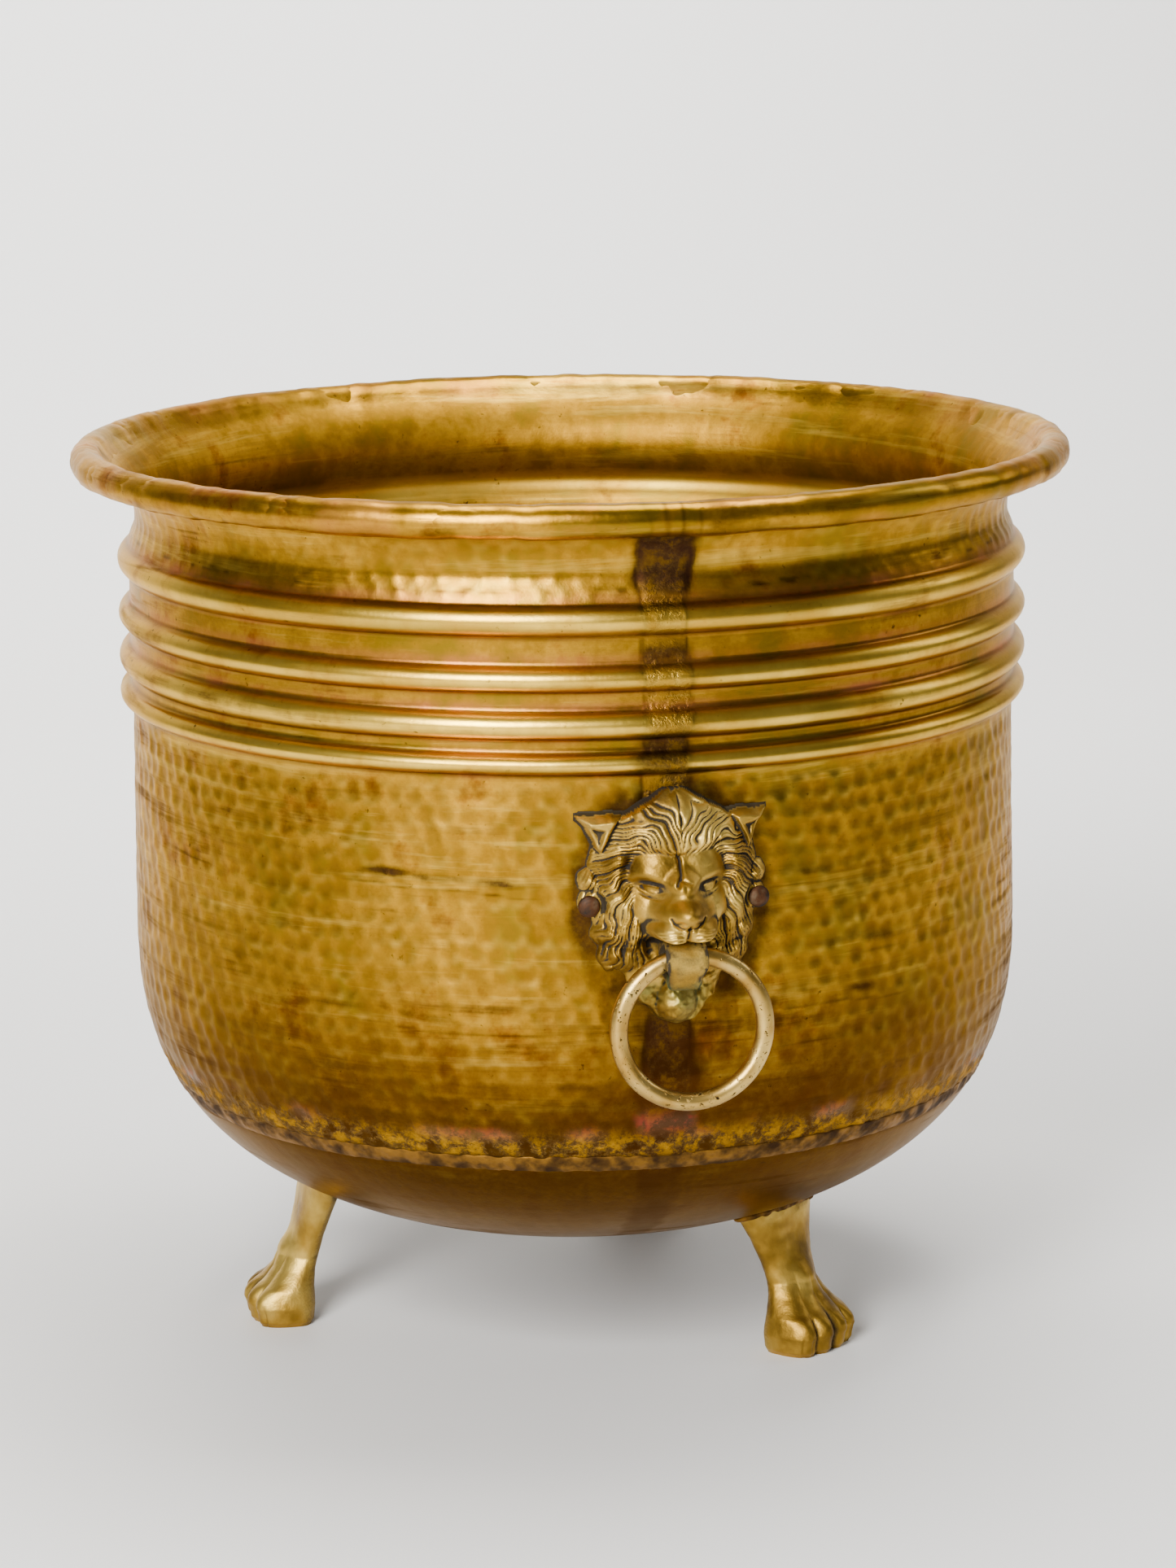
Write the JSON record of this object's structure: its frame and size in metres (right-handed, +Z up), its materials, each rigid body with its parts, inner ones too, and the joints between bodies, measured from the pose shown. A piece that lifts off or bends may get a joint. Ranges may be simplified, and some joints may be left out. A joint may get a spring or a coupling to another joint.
{
  "type": "planter pot",
  "caption": "Round hammered brass planter pot with a rolled rim, ribbed neck, dished bottom, lion-mask ring handles on two sides and cast paw feet.",
  "frame": {"origin": "on the pot's axis, at the floor that the three feet stand on", "axes": "+Z up along the pot's axis; the front mask faces -Y and the back mask +Y; +X is to the right as the front mask is seen"},
  "size_m": [0.4599, 0.48, 0.414],
  "materials": {
    "hammered_brass": "hand-hammered sheet, aged, with brown heat stains",
    "cast_brass": "sand-cast, dark in the hollows",
    "ring_brass": "satin, pitted",
    "brazing": "rough filler metal with flux residue",
    "iron": "dark, lightly rusted"
  },
  "bodies": {
    "pot": {"wall": "hammered_brass", "bowl": "hammered_brass", "rim_wire": "iron", "bowl_braze": "brazing", "front_mask": "cast_brass", "back_mask": "cast_brass", "front_left_rivet": "iron", "front_right_rivet": "iron", "back_left_rivet": "iron", "back_right_rivet": "iron", "front_left_burr": "ring_brass", "front_right_burr": "ring_brass", "back_left_burr": "ring_brass", "back_right_burr": "ring_brass", "right_foot": "cast_brass", "back_foot": "cast_brass", "left_foot": "cast_brass", "right_foot_braze": "brazing", "back_foot_braze": "brazing", "left_foot_braze": "brazing"},
    "front_ring": {"front_ring": "ring_brass"},
    "back_ring": {"back_ring": "ring_brass"}
  },
  "joints": [
    {"name": "front_ring_swing", "type": "hinge", "parent": "pot", "child": "front_ring", "pos_m": [0, -0.223, 0.2175], "axis": [-1, 0, 0], "range_deg": [-12, 120]},
    {"name": "back_ring_swing", "type": "hinge", "parent": "pot", "child": "back_ring", "pos_m": [0, 0.223, 0.2175], "axis": [1, 0, 0], "range_deg": [-12, 120]}
  ]
}
